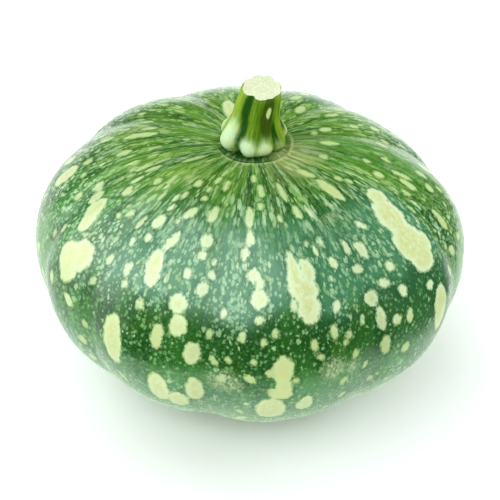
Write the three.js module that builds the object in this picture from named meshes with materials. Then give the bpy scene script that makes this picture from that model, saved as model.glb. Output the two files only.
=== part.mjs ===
// A round-flat mottled squash with its short cut stem, as picked and resting on its blossom end.
// Millimetres, +Z up. The origin is the middle of the bottom of the object's box, and -Y is its
// front. Azimuths are degrees from the front, growing towards +X.

import * as THREE from 'three';

// Fruit: heights are measured from the widest ring, the belly.
const BELLY_RADIUS = 104;
const CROWN_HEIGHT = 59.4; // up to the upper pole, without the stem cavity
const CROWN_POWER = 0.96; // 1 gives an ellipse, and less gives a fuller shoulder
const KEEL_DEPTH = 76.5; // down to the lower pole, before the resting face cuts it off
const BASE_DEPTH = 71; // down to the resting face
const FRUIT_LEAN = 2.2; // degrees, towards +X

const CAVITY_DEPTH = 4; // the shallow hollow that the stem stands in
const CAVITY_SPREAD = 30;
const SEAT_RADIUS = 17; // the furrows die out at this radius round the stem
const SEAT_BLEND = 9;

const DIMPLE_RADIUS = 15; // the blossom end, in the middle of the resting face
const DIMPLE_DEPTH = 3.5;

// Lobes: a lobe lies between each furrow and the next one round, and swells by its own amount.
const FURROW_AZIMUTHS = [-46, -12, 36, 72, 109, 143, 171, 208, 241, 288];
const LOBE_SWELLS = [0.2, 1, -0.7, 0.9, -1, 0.2, 0, 0.6, -0.4, 0];
const FURROW_DEPTH = 3.8;
const FURROW_POWER = 0.6; // below 1 the lobe is round and the furrow narrow
const FURROW_ROUND = 0.16; // rounds the bottom of the furrow
const MEAN_CREST = 0.6; // the share of the furrow's depth that lies below the plain surface
const RELIEF_FADE = 0.7; // how fast the relief shrinks towards the poles

// Stem: heights are measured from its seat.
const STEM_HEIGHT = 31; // on its centre line
const STEM_SWAY = 3; // how far its top bends towards +X, on top of the fruit's lean
const CUT_RADIUS = 9.6;
const NECK_RADIUS = 13.2; // where the foot begins, from which it tapers to the cut face
const FOOT_RADIUS = 16;
const FOOT_HEIGHT = 5; // where the foot is widest
const FOOT_FALL = 6; // how soon the foot narrows into the neck above that
const FOOT_TUCK = 2.6; // how far the foot draws in again underneath
const STEM_BROADNESS = 0.04; // how much wider it is across X, and narrower across Y
const CUT_SLOPE = 12; // degrees, the cut face falls towards -Y
const SEAT_GAP = 0.3;

// Grooves down the stem: azimuth, depth at the foot and at the cut as shares of the radius,
// and half width in degrees.
const STEM_GROOVES = [
  [-33, 0.22, 0.3, 12],
  [10, 0.08, 0.16, 9],
  [41, 0.2, 0.2, 11],
  [82, 0.12, 0.1, 12],
  [128, 0.2, 0.22, 13],
  [176, 0.14, 0.12, 12],
  [222, 0.2, 0.24, 13],
  [268, 0.14, 0.1, 12],
];

// Mesh steps.
const STEPS_PER_LOBE = 8;
const FRUIT_ROWS = 36;
const STEM_STEPS = 60;
const STEM_ROWS = 14;
const STEM_UNDER_ROWS = 3;

const radians = THREE.MathUtils.degToRad;
const { smoothstep } = THREE.MathUtils;

// Radius and height of the plain fruit at a latitude in radians: an ellipse-like arc above and
// below the belly, less a bell-shaped cavity at the top.
function fruitProfile(latitude) {
  const cosine = Math.max(Math.cos(latitude), 0);
  const sine = Math.sin(latitude);
  if (latitude < 0) return new THREE.Vector2(BELLY_RADIUS * cosine, KEEL_DEPTH * sine);
  const radius = BELLY_RADIUS * cosine ** CROWN_POWER;
  const cavity = CAVITY_DEPTH * Math.exp(-((radius / CAVITY_SPREAD) ** 2));
  return new THREE.Vector2(radius, CROWN_HEIGHT * sine - cavity);
}

// Outward direction of that profile, from the chord across a small step of latitude.
function profileNormal(latitude) {
  const step = 0.002;
  const pole = Math.PI / 2;
  const above = fruitProfile(Math.min(latitude + step, pole));
  const below = fruitProfile(Math.max(latitude - step, -pole));
  const chord = above.sub(below);
  return new THREE.Vector2(chord.y, -chord.x).normalize();
}

// Height of the lobes above the plain surface: a power of a half sine across each lobe, rounded
// off where it meets its neighbour.
function lobeRelief(lobe, share, radius) {
  const arch = Math.sin(Math.PI * share);
  const rounded = Math.hypot(arch, FURROW_ROUND);
  const crest = FURROW_DEPTH * (rounded ** FURROW_POWER - MEAN_CREST);
  const swell = LOBE_SWELLS[lobe] * arch ** 2;
  const fade = (radius / BELLY_RADIUS) ** RELIEF_FADE;
  return (crest + swell) * fade * smoothstep(radius, SEAT_RADIUS, SEAT_RADIUS + SEAT_BLEND);
}

// Turns a point from the fruit's own axis to its leaning one.
const leaning = new THREE.Matrix4().makeRotationY(radians(FRUIT_LEAN));

// A point of the rind: the profile moved along its normal by the relief, leant over, cut off
// by the resting face, and raised again in the blossom-end dimple.
function rindPoint(lobe, share, latitude) {
  const from = FURROW_AZIMUTHS[lobe];
  const to = FURROW_AZIMUTHS[lobe + 1] ?? FURROW_AZIMUTHS[0] + 360;
  const azimuth = radians(from + (to - from) * share);
  const plain = fruitProfile(latitude);
  const relief = lobeRelief(lobe, share, plain.x);
  const { x: radius, y: height } = plain.addScaledVector(profileNormal(latitude), relief);
  const point = new THREE.Vector3(
    radius * Math.sin(azimuth),
    -radius * Math.cos(azimuth),
    height,
  ).applyMatrix4(leaning);
  point.z = Math.max(point.z, -BASE_DEPTH);
  if (latitude < 0 && radius < DIMPLE_RADIUS) {
    point.z += DIMPLE_DEPTH * (1 - (radius / DIMPLE_RADIUS) ** 2) ** 2;
  }
  return point;
}

// A closed surface through rings of points, from a single top point to a single bottom point.
// Each ring runs towards growing azimuth, so every face turns outwards.
function closedSurface(top, rings, bottom) {
  const count = rings[0].length;
  const points = [top, ...rings.flat(), bottom];
  const last = points.length - 1;
  const faces = [];
  const at = (ring, i) => 1 + ring * count + (i % count);
  for (let i = 0; i < count; i += 1) {
    faces.push(0, at(0, i), at(0, i + 1));
    for (let ring = 0; ring < rings.length - 1; ring += 1) {
      const [a, b] = [at(ring, i), at(ring, i + 1)];
      const [c, d] = [at(ring + 1, i), at(ring + 1, i + 1)];
      faces.push(a, c, b, b, c, d);
    }
    faces.push(last, at(rings.length - 1, i + 1), at(rings.length - 1, i));
  }
  const surface = new THREE.BufferGeometry().setFromPoints(points);
  surface.setIndex(faces);
  surface.computeVertexNormals();
  return surface;
}

function fruitSurface() {
  const rings = [];
  for (let row = 1; row < FRUIT_ROWS; row += 1) {
    const latitude = Math.PI / 2 - (Math.PI * row) / FRUIT_ROWS;
    const ring = [];
    FURROW_AZIMUTHS.forEach((_, lobe) => {
      for (let step = 0; step < STEPS_PER_LOBE; step += 1) {
        ring.push(rindPoint(lobe, step / STEPS_PER_LOBE, latitude));
      }
    });
    rings.push(ring);
  }
  return closedSurface(rindPoint(0, 0, Math.PI / 2), rings, rindPoint(0, 0, -Math.PI / 2));
}

// Height of the seat at a radius, on the fruit's own axis.
function seatHeight(radius) {
  const latitude = Math.acos((radius / BELLY_RADIUS) ** (1 / CROWN_POWER));
  return fruitProfile(latitude).y;
}

// Radius of the stem at a height and azimuth: a tapering neck on a flared foot, a little broader
// across X, less the grooves, each a bell-shaped notch.
function stemRadius(height, azimuth) {
  const share = height / STEM_HEIGHT;
  const above = Math.max(height - FOOT_HEIGHT, 0) / FOOT_FALL;
  const below = Math.max(FOOT_HEIGHT - height, 0) / FOOT_HEIGHT;
  const neck = THREE.MathUtils.lerp(NECK_RADIUS, CUT_RADIUS, share);
  const foot = (FOOT_RADIUS - NECK_RADIUS) * Math.exp(-(above ** 2)) - FOOT_TUCK * below ** 2;
  const broad = 1 - STEM_BROADNESS * Math.cos(radians(2 * azimuth));
  const grooves = STEM_GROOVES.reduce((sum, [centre, atFoot, atCut, width]) => {
    const away = THREE.MathUtils.euclideanModulo(azimuth - centre + 180, 360) - 180;
    return sum + THREE.MathUtils.lerp(atFoot, atCut, share) * Math.exp(-((away / width) ** 2));
  }, 0);
  return (neck + foot) * broad * (1 - grooves);
}

// A point of the stem: the radius carried up a bending centre line from the seat. The slope of
// the cut face grows from nothing at the foot.
function stemPoint(height, azimuth, inset = 1) {
  const radius = stemRadius(height, azimuth) * inset;
  const share = height / STEM_HEIGHT;
  const x = radius * Math.sin(radians(azimuth));
  const y = -radius * Math.cos(radians(azimuth));
  const rise = Math.tan(radians(CUT_SLOPE)) * y * share ** 2;
  const floor = height > 0 ? seatHeight(0) : seatHeight(radius);
  return new THREE.Vector3(
    x + STEM_SWAY * share ** 2,
    y,
    floor + SEAT_GAP + height + rise,
  ).applyMatrix4(leaning);
}

function stemSurface() {
  const azimuths = Array.from({ length: STEM_STEPS }, (_, i) => (360 * i) / STEM_STEPS);
  const ringAt = (height, inset) => azimuths.map((azimuth) => stemPoint(height, azimuth, inset));
  const rings = [];
  for (let row = 0; row < STEM_ROWS; row += 1) {
    const share = 1 - row / STEM_ROWS;
    rings.push(ringAt(STEM_HEIGHT * share ** 1.5, 1));
  }
  for (let row = 0; row < STEM_UNDER_ROWS; row += 1) {
    rings.push(ringAt(0, 1 - row / STEM_UNDER_ROWS));
  }
  return closedSurface(stemPoint(STEM_HEIGHT, 0, 0), rings, stemPoint(0, 0, 0));
}

const rind = new THREE.MeshStandardMaterial({
  color: new THREE.Color().setRGB(0.13, 0.27, 0.14, THREE.SRGBColorSpace),
  roughness: 0.45,
  metalness: 0,
});
const cutStem = new THREE.MeshStandardMaterial({
  color: new THREE.Color().setRGB(0.42, 0.53, 0.2, THREE.SRGBColorSpace),
  roughness: 0.7,
  metalness: 0,
});

const fruit = new THREE.Mesh(fruitSurface(), rind);
fruit.name = 'fruit';
const stem = new THREE.Mesh(stemSurface(), cutStem);
stem.name = 'stem';

// The middle of the bottom of the object's box goes to the origin.
const pumpkin = new THREE.Group();
pumpkin.add(fruit, stem);
const box = new THREE.Box3().setFromObject(pumpkin, true);
const middle = box.getCenter(new THREE.Vector3());
const shift = new THREE.Vector3(-middle.x, -middle.y, -box.min.z);
fruit.position.copy(shift);
stem.position.copy(shift);

export default pumpkin;
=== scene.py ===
"""A round-flat mottled green squash with its short cut stem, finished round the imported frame.

Metres, +Z up, -Y the front. Azimuths run from the front towards +X. An arc is the distance
down the rind from its upper pole.
"""

import math

import bpy
import numpy as np
from bpy.props import FloatProperty, FloatVectorProperty, IntProperty, PointerProperty
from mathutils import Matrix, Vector


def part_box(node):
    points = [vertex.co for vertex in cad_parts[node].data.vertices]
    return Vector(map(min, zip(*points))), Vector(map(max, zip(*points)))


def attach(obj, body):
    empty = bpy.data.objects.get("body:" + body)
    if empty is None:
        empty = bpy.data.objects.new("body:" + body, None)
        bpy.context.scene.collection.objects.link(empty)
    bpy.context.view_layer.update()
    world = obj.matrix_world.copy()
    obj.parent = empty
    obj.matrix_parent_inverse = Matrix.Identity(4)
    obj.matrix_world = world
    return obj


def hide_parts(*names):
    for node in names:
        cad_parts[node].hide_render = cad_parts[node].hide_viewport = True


bl_info = {
    "name": "Mottled Squash",
    "version": (1, 0, 0),
    "blender": (4, 5, 0),
    "location": "View3D > Sidebar > Squash",
    "description": "A flecked and blotched green squash with a cut stem, on a pale floor",
    "category": "Add Mesh",
}

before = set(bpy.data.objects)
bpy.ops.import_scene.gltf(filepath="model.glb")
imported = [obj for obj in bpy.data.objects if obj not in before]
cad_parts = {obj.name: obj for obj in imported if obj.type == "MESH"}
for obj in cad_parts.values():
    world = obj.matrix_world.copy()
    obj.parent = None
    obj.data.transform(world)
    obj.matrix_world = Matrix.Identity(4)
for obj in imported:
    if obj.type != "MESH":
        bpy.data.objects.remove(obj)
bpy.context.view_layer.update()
FRUIT_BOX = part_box("fruit")

MM = 0.001

# Lobes: a lobe lies between each furrow and the next one round, and swells by its own amount.
FURROW_AZIMUTHS = (-46, -12, 36, 72, 109, 143, 171, 208, 241, 288)
LOBE_SWELLS = (0.2, 1, -0.7, 0.9, -1, 0.2, 0, 0.6, -0.4, 0)  # mm
LOBE_TINTS = (0.35, 0.05, 0.2, 1.1, 0.85, 0.5, 0.75, 0.85, 0.85, 0.65)  # 0 green, 1 yellow
TINT_BLEND = 8  # degrees either side of a furrow
TINT_REACH = 14  # degrees, past which a furrow changes no tint
FURROW_POWER = 0.6  # below 1 the lobe is round and the furrow narrow
FURROW_ROUND = 0.16  # rounds the bottom of the furrow
MEAN_CREST = 0.6  # the share of the furrow's depth that lies below the plain surface
RELIEF_FADE = 0.7  # how fast the relief shrinks towards the poles
SEAT_RADIUS = 17 * MM  # the furrows die out at this radius round the stem
SEAT_BLEND = 9 * MM
COLLAR_RADIUS = 18.4 * MM  # of the ring of skin round the stem
CREVICE_RADIUS = 17.0 * MM
HAUNCH_AZIMUTH = 66
HAUNCH_ARC = 160 * MM
HAUNCH_SWELL = 2.8 * MM

# Rows of the fruit's grid: arc reached, and the step up to there.
FRUIT_COLUMNS = 560
FRUIT_STEPS = ((14, 3.5), (26, 0.6), (60, 1.5), (205, 1.75), (400, 2.3))  # mm
PROFILE_SAMPLES = 3601

# Grooves down the stem: azimuth, depth at the foot and at the cut as shares of the radius,
# and half width in degrees.
STEM_GROOVES = (
    (-35, 0.22, 0.19, 14),
    (22, 0.07, 0.06, 12),
    (49, 0.19, 0.07, 10),
    (92, 0.12, 0.08, 12),
    (130, 0.20, 0.16, 13),
    (176, 0.14, 0.10, 12),
    (222, 0.20, 0.16, 13),
    (264, 0.14, 0.08, 12),
)
STEM_BROADNESS = 0.04
STEM_COLUMNS = 256

# How yellow the stem is at these azimuths, from 0, olive, to 1, yellow-green.
STEM_RIPENESS = (
    (-75, 1.0),
    (-45, 0.4),
    (-11, 0.15),
    (35, 0.10),
    (70, 0.50),
    (110, 0.7),
    (152, 0.9),
    (200, 0.6),
    (245, 0.8),
)

# Patches on the stem: azimuth, half width in degrees, height of the middle and half height in
# mm. The dark ones are painted shade in the grooves, the brown ones olive stains, and the bare
# ones show the pale flesh.
STEM_GROOVE_SHADE = (
    (-38, 14, 25, 9),
    (-33, 11, 12, 10),
    (50, 7, 10, 6),
    (130, 10, 16, 12),
    (222, 9, 18, 12),
)
STEM_BROWN = ((27, 21, 21, 11), (98, 9, 15, 8), (182, 12, 20, 8))
STEM_BARE = ((30, 8, 23, 3.4), (160, 4, 18, 3.0))

# Swollen knuckles at the stem's foot: azimuth, half width in degrees, height of the middle
# and half height in mm, bulge in mm, and how pale it is.
STEM_KNUCKLES = (
    (-62, 18, 8.0, 9.5, 1.0, 0.95),
    (-15, 19, 4.6, 5.2, 1.2, 1.0),
    (21, 16, 4.4, 5.0, 1.1, 0.85),
    (55, 12, 4.2, 4.2, 0.9, 0.35),
    (110, 15, 4.6, 4.8, 1.2, 0.6),
    (153, 14, 5.0, 5.0, 1.3, 0.8),
    (199, 14, 4.6, 4.8, 1.2, 0.7),
    (243, 14, 5.2, 5.4, 1.3, 0.9),
)

# Pale marks placed one by one, most of them on the front half of the rind: azimuth and arc
# of the middle, width in degrees of azimuth, height in mm, and how many degrees the mark
# leans over its height.
FRONT_MARKS = (
    # round the stem
    (0.5, 32, 5, 6, 0), (5, 41, 4.5, 9, 1), (4, 51, 3.5, 4.5, 0), (18, 43.5, 4, 13, 1),
    (-18.5, 39, 3.5, 8, 0), (-26, 37.5, 4, 5.5, 0), (-36, 43.5, 5, 5.5, 0), (-37, 53, 3.5, 5.5, 0),
    (-60, 32, 5, 13, -3), (-92, 32, 5.5, 4, 0), (39, 27, 3.5, 5, 3), (44.5, 35, 5.5, 10, 5),
    (47, 50, 6.5, 17, 2), (58, 47.5, 3.5, 4.5, 0), (75, 35, 5.5, 4.5, 0), (111, 32, 4, 3.5, 0),
    # down the middle of the shoulder
    (-18.5, 57.5, 4.5, 10, -1), (-28, 61, 4.5, 8, -3), (-1.5, 57, 4.5, 12, 0), (-1, 69, 3.5, 8, 0),
    (-2.5, 77, 3, 6, 0), (-17, 72, 5, 8, 0), (-17, 80, 3, 4.5, 0), (-12.5, 88, 3, 5, 0),
    (-14.5, 95, 3.5, 7, 0), (-29, 77.5, 3.5, 11, -2), (-38.5, 71, 5.5, 8, 0),
    (-30.5, 92, 6, 18, 2), (0.5, 87, 4.5, 5.5, 0), (2.5, 91, 3, 4.5, 0), (2.5, 98, 5, 9, 0),
    (2.5, 107, 2.5, 5, 0), (21.5, 56, 3.5, 8, 0), (39.5, 83.5, 3.5, 10, 1), (35, 91, 4, 4, 0),
    # the big ragged ones right of the middle
    (13, 80.5, 3, 9, 0), (13.5, 90, 5.5, 20, 0), (17.5, 87, 5, 14, 0), (15.5, 95, 8.5, 13, 0),
    (16, 103.5, 6.5, 14, 0), (63, 67.5, 9, 12, 0), (59.5, 78, 12.5, 21, 0), (58, 93, 13.5, 21, 0),
    (63.5, 98, 7, 12, 0), (59, 102.5, 11, 14, 0),
    # the belly
    (-20, 104, 5, 9.5, 0), (-19, 114, 5, 10, 0), (-24, 121, 3.5, 12, 0),
    (-14.5, 126.5, 4.5, 12, 0), (8.5, 131, 5.5, 15.5, 0), (9, 141, 4.5, 13, 0),
    (8.5, 145, 5.5, 8, 0), (6, 132, 4, 5, 0), (12, 136.5, 2, 3.5, 0), (6.5, 143, 3.5, 4.5, 0),
    (-37, 132, 6.5, 28, 0), (-24, 153, 6, 24, 0), (-19, 161, 6, 16, 0), (-14, 150, 5, 19, 0),
    (6.5, 159, 8.5, 22, 0), (15.5, 154.5, 5, 12, 0), (35.5, 106, 4.5, 8, 0), (46, 109, 3, 7, 0),
    (37, 117, 3.5, 12, 0), (38, 132, 3, 11, 0), (45, 139, 3, 6, 0),
    # the left side
    (-101, 56, 5, 18, 0), (-104, 75, 3.5, 8, 0), (-56, 54, 3.5, 4.5, 0), (-70.5, 81.5, 5, 10, 0),
    (-64.5, 84.5, 7.5, 14, 0), (-62.5, 91, 6, 13, 0), (-55.5, 104.5, 8.5, 16, 0),
    (-59, 108.5, 10, 15, 0), (-57.5, 113, 7, 14, 0), (-92.5, 96, 7, 15.5, 0),
    # the right side
    (81, 78, 3, 10, 0), (84, 74, 2.5, 11, 0), (87, 90, 3.5, 5.5, 0), (92, 85, 3, 8, 0),
    (60.5, 131, 7, 25, 0), (56.5, 115, 3, 4.5, 0), (82, 116, 3, 4.5, 0), (114.5, 39, 5.5, 7, 0),
    (118, 57, 4, 6, 0),
    # the smaller ones among them
    (-27, 45, 3.5, 4, 0), (-26, 51, 3.5, 3.5, 0), (-40, 56, 3, 5, 0), (-38, 62, 3, 4, 0),
    (-31, 67, 2, 4.5, 0), (-12.5, 82, 2, 3.5, 0), (-45, 75, 2.5, 8, 0), (-38, 80, 3, 4.5, 0),
    (-38.5, 97, 3, 6.5, 0), (-37, 104, 3, 4, 0), (34.5, 80, 2, 9, 0), (20, 73.5, 2, 4, 0),
    (22.5, 77, 1.5, 6, 0), (26, 73.5, 2, 6.5, 0), (12.5, 59, 2, 4.5, 0), (12, 101, 2, 6, 0),
    (-2, 115, 2, 5.5, 0), (3.5, 117, 2, 4, 0), (-5, 126.5, 2, 4, 0), (1, 126, 2, 3.5, 0),
    (6.5, 113, 2.5, 3.5, 0), (41, 102, 3.5, 5.5, 0), (42, 121, 3.5, 5, 0), (46.5, 122, 2.5, 7, 0),
    (22, 115.5, 2, 8, 0), (16.5, 120, 2.5, 6, 0), (25, 122, 2, 4, 0), (26.5, 118, 2, 4, 0),
    (18.5, 126, 2.5, 3, 0), (31, 114, 2, 5, 0), (-108, 53.5, 4, 9, 0), (-88, 62.5, 3.5, 9, 0),
    (-92, 82.5, 3.5, 5.5, 0), (-85.5, 84.5, 2.5, 4.5, 0), (-75, 78.5, 3.5, 6.5, 0),
    (-70, 103.5, 2.5, 4.5, 0), (-54, 79, 2, 3, 0), (-51, 75, 2, 5, 0), (61, 52.5, 3, 4, 0),
    (83, 55, 3, 4, 0), (89.5, 65, 3, 5, 0), (78.5, 101, 2.5, 13, 0), (71.5, 84, 2, 5, 0),
    (76.5, 78.5, 2, 5.5, 0),
)
# Where the marks are yellower, and the corky scars, in the same form.
YELLOWED = (
    (8.5, 137, 12, 30, 0),
    (-24, 121, 6, 16, 0),
    (45, 40, 7, 32, 6),
)
SCARS = (
    (22, 134.5, 6.5, 13, 0),
    (-6, 140, 9, 13, 0),
    (27.5, 136, 3, 9, 0),
    (35, 63, 7, 3.5, 0),
    (171, 88, 4, 6, 0),
    (-150, 118, 3, 9, 0),
)

# Seeded marks: how many draws, the arcs they lie between, the front that the placed marks
# fill, where the draw for size is cut down, and how far round the stem they are streaks.
MARK_TRIES = 1500
MARK_ARCS = (28, 262)  # mm
FRONT_AZIMUTH = 100  # degrees either side of the front
FRONT_ARC = 168  # mm
FRONT_LARGEST = 0.35
STREAKED_ARC = 62  # mm
FAR_FROM_MARKS = 50.0  # mm, the most that the distance from a mark is counted

# The rind laid out flat: two discs, one round each pole, meeting at this arc.
SEAM_ARC = 181 * MM
WHOLE_ARC = 0.57  # the length of the whole arc when laid out
UPPER_DISC = 0.385  # each disc's middle, the same across and up
LOWER_DISC = 0.79

# The stem laid out flat: a band for its side, and a disc for each end.
BAND_MARGIN = 0.02
BAND_WIDTH = 0.96
BAND_HEIGHT = 0.48
END_RADIUS = 0.215
END_HEIGHT = 0.755
FACE_ACROSS = 0.25
BASE_ACROSS = 0.75

# The black sheet on the stage, and what the lights face.
SHEET_AZIMUTHS = (-60, 150)
SHEET_REACH = 3  # m
LIGHT_TARGET = (0, 0, 0.08)
LIGHT_COLOUR = (0.92, 0.98, 1.0)

# Rings of the stem across the cut face, down the side and across the underside, ends of
# each stretch included.
FACE_RINGS = 25
SIDE_RINGS = 105
BASE_RINGS = 8
SIDE_CROWDING = 1.15  # above 1 the side's rings crowd towards the foot
DEEPEST_NOTCH = 0.3
GRAIN_RADIUS = 14  # mm, the stem's radius as its grain counts it


def length_property(name, description, default, low=0.0):
    """A size in metres."""
    return FloatProperty(
        name=name, description=description, default=default, min=low, unit="LENGTH"
    )


def angle_property(name, description, degrees):
    """An angle, given in degrees."""
    return FloatProperty(
        name=name, description=description, default=math.radians(degrees), subtype="ANGLE"
    )


def power_property(name, description, default):
    """A light's power in watts."""
    return FloatProperty(
        name=name, description=description, default=default, min=0.0, unit="POWER"
    )


def colour_property(name, description, default):
    """A colour in linear red, green and blue."""
    return FloatVectorProperty(
        name=name, description=description, subtype="COLOR", default=default, min=0.0, max=1.0
    )


class SQUASH_PG_fruit(bpy.types.PropertyGroup):
    """Sizes and colours of the fruit."""

    belly_radius: length_property("Belly radius", "Radius of the widest ring", 0.104, 0.02)
    crown_height: length_property(
        "Crown height",
        "Height of the upper pole over the belly, without the stem's cavity", 0.0594, 0.01
    )
    crown_power: FloatProperty(
        name="Crown power",
        description="1 gives an ellipse, and less gives a fuller shoulder",
        default=0.96,
        min=0.5,
        max=1.5,
    )
    keel_depth: length_property(
        "Keel depth", "Depth of the lower pole, before the resting face cuts it off", 0.0765, 0.01
    )
    base_depth: length_property(
        "Base depth", "Depth of the resting face below the belly", 0.071, 0.01
    )
    lean: angle_property("Lean", "How far the fruit leans towards +X", 2.2)
    cavity_depth: length_property(
        "Cavity depth", "Depth of the hollow that the stem stands in", 0.004
    )
    cavity_spread: length_property(
        "Cavity spread", "Radius at which the hollow has mostly died out", 0.030, 0.001
    )
    furrow_depth: length_property(
        "Furrow depth", "Depth of the furrows between the lobes at the belly", 0.0038
    )
    dimple_radius: length_property(
        "Dimple radius", "Radius of the blossom-end dimple under the fruit", 0.015, 0.001
    )
    dimple_depth: length_property("Dimple depth", "Depth of the blossom-end dimple", 0.0035)
    seed: IntProperty(
        name="Seed",
        description="Chooses the small lumps and the marks away from the front",
        default=7,
        min=0,
    )
    dark_green: colour_property("Dark green", "The darkest rind", (0.004, 0.052, 0.002))
    leaf_green: colour_property(
        "Leaf green", "The lighter rind between the dark patches", (0.026, 0.160, 0.008)
    )
    # Partly a waxy bloom, partly a painted sheen of the lights on the upper shoulder.
    bloom_and_sheen_green: colour_property(
        "Bloom green", "The bluish rind of the upper shoulder", (0.046, 0.172, 0.088)
    )
    # Partly the rind's own paler colour below the belly, partly painted light bounced from the
    # floor.
    keel_and_floor_bounce_green: colour_property(
        "Keel green", "The paler rind below the belly", (0.088, 0.222, 0.100)
    )
    olive: colour_property("Olive", "The yellower rind round the stem", (0.090, 0.215, 0.010))
    fleck_warm: colour_property(
        "Warm fleck", "The yellower flecks of the yellower rind", (0.38, 0.54, 0.15)
    )
    fleck_green: colour_property(
        "Green fleck", "The greener flecks of the belly", (0.090, 0.28, 0.070)
    )
    fleck: colour_property("Fleck", "The small pale flecks", (0.38, 0.58, 0.32))
    mark: colour_property("Mark", "The large cream marks", (0.51, 0.60, 0.34))
    # Whiter marks where the bloom and its painted sheen lie, and underneath where painted bounce
    # from the floor lies.
    mark_cool_and_lit: colour_property(
        "Cool mark", "The whiter small marks of the bluish rind", (0.54, 0.69, 0.51)
    )
    mark_edge: colour_property("Mark edge", "The greener edge of a mark", (0.34, 0.50, 0.18))
    mark_tan: colour_property(
        "Mark tan", "The yellower patches within a mark", (0.445, 0.490, 0.19)
    )
    scar: colour_property("Scar", "Corky rubbed places", (0.34, 0.44, 0.22))


class SQUASH_PG_stem(bpy.types.PropertyGroup):
    """Sizes and colours of the stem."""

    height: length_property("Height", "Height of the centre line above the seat", 0.031, 0.005)
    sway: FloatProperty(
        name="Sway",
        description="How far the top bends towards +X",
        default=0.003,
        unit="LENGTH",
    )
    cut_radius: length_property(
        "Cut radius", "Radius of the cut face, before the grooves", 0.0096, 0.001
    )
    neck_radius: length_property("Neck radius", "Radius where the foot begins", 0.0132, 0.001)
    foot_radius: length_property(
        "Foot radius", "Radius of the foot where it is widest", 0.016, 0.001
    )
    foot_height: length_property("Foot height", "Height at which the foot is widest", 0.005, 0.0005)
    foot_fall: length_property(
        "Foot fall", "How soon the foot narrows into the neck", 0.006, 0.0005
    )
    foot_tuck: length_property("Foot tuck", "How far the foot draws in again underneath", 0.0026)
    cut_slope: angle_property("Cut slope", "How far the cut face falls towards the front", 12)
    seat_gap: length_property("Seat gap", "Gap between the stem and the rind under it", 0.0003)
    ridge: colour_property("Ridge", "The yellow-green ridges", (0.21, 0.34, 0.026))
    flank: colour_property("Flank", "The olive flanks of the ridges", (0.072, 0.165, 0.004))
    # The grooves' own darker green, deepened by painted shade; the painted shade patches use it too.
    groove: colour_property("Groove", "The dark bottoms of the grooves", (0.008, 0.062, 0.002))
    knuckle: colour_property("Knuckle", "The pale swollen foot", (0.47, 0.63, 0.37))
    swelling: colour_property("Swelling", "The yellower parts of the pale foot", (0.46, 0.58, 0.23))
    stain: colour_property("Stain", "The brown-olive stains", (0.030, 0.065, 0.002))
    cut: colour_property("Cut", "The cut face", (0.60, 0.63, 0.45))


class SQUASH_PG_stage(bpy.types.PropertyGroup):
    """The floor, the light and the camera."""

    floor_colour: colour_property("Floor", "The pale floor", (0.86, 0.86, 0.86))
    floor_radius: length_property("Floor radius", "How far the floor reaches", 3.0, 0.5)
    surround: FloatProperty(
        name="Surround",
        description="Strength of the even light from all round",
        default=0.95,
        min=0.0,
    )
    gloss_surround: FloatProperty(
        name="Surround in gloss",
        description="Strength of the even light as the gloss shows it",
        default=0.06,
        min=0.0,
    )
    softbox_power: power_property("Softbox power", "Power of the large light in front", 58.0)
    back_power: power_property(
        "Back softbox power", "Power of the smaller light behind, on the left", 38.0
    )
    right_power: power_property(
        "Right softbox power", "Power of the smaller light on the right", 46.0
    )
    gloss_power: power_property(
        "Gloss power", "Power of the overhead light that only the gloss shows", 115.0
    )
    side_power: power_property(
        "Side gloss power", "Power of the light on the left that only the gloss shows", 56.0
    )
    camera_elevation: angle_property(
        "Camera elevation", "Angle of the camera above the horizon", 35
    )
    camera_distance: length_property(
        "Camera distance", "Distance from the middle of the fruit", 1.063, 0.2
    )
    camera_lens: FloatProperty(
        name="Camera lens",
        description="Focal length in mm on a sensor 36 mm wide",
        default=154.15,
        min=10.0,
    )


def smoothstep(value, low, high):
    """0 below low, 1 above high, and 3t^2 - 2t^3 between them."""
    t = np.clip((value - low) / (high - low), 0, 1)
    return t * t * (3 - 2 * t)


def away(azimuth, centre):
    """The turn from centre to azimuth in degrees, between -180 and 180."""
    return (azimuth - centre + 180) % 360 - 180


def waves(rng, azimuth, along, count, turns, length):
    """A sum of count products of two cosines, one in the azimuth with a whole number of
    turns up to turns, one in the distance along with a wavelength near length."""
    total = np.zeros(np.broadcast(azimuth, along).shape)
    for _ in range(count):
        turn = rng.integers(1, turns + 1)
        wavelength = length * rng.uniform(0.7, 1.8)
        first, second = rng.uniform(0, 2 * math.pi, 2)
        total += np.cos(turn * np.radians(azimuth) + first) * np.cos(
            2 * math.pi * along / wavelength + second
        )
    return total / math.sqrt(count)


# ---------------------------------------------------------------------------- fruit


def fruit_profile(fruit, latitude):
    """Radius and height of the plain fruit at a latitude in radians: an ellipse-like arc
    above and below the belly, less a bell-shaped cavity at the top."""
    cosine = np.maximum(np.cos(latitude), 0)
    sine = np.sin(latitude)
    radius = fruit.belly_radius * np.where(
        latitude < 0, cosine, cosine**fruit.crown_power
    )
    cavity = fruit.cavity_depth * np.exp(-((radius / fruit.cavity_spread) ** 2))
    height = np.where(
        latitude < 0, fruit.keel_depth * sine, fruit.crown_height * sine - cavity
    )
    return radius, height


class Meridian:
    """The fruit's plain profile as a line from the upper to the lower pole, measured by its
    arc: radius, height and the outward direction at any arc."""

    def __init__(self, fruit):
        latitude = np.linspace(math.pi / 2, -math.pi / 2, PROFILE_SAMPLES)
        self.latitudes = latitude
        self.radii, self.heights = fruit_profile(fruit, latitude)
        steps = np.hypot(np.diff(self.radii), np.diff(self.heights))
        self.arcs = np.concatenate(([0], np.cumsum(steps)))
        self.length = self.arcs[-1]
        across, down = np.gradient(self.radii), np.gradient(self.heights)
        step = np.hypot(across, down)
        self.outward = (-down / step, across / step)

    def at(self, arc):
        """Radius, height, and outward direction (across, up) at an arc."""
        return tuple(
            np.interp(arc, self.arcs, values)
            for values in (self.radii, self.heights, *self.outward)
        )


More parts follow.
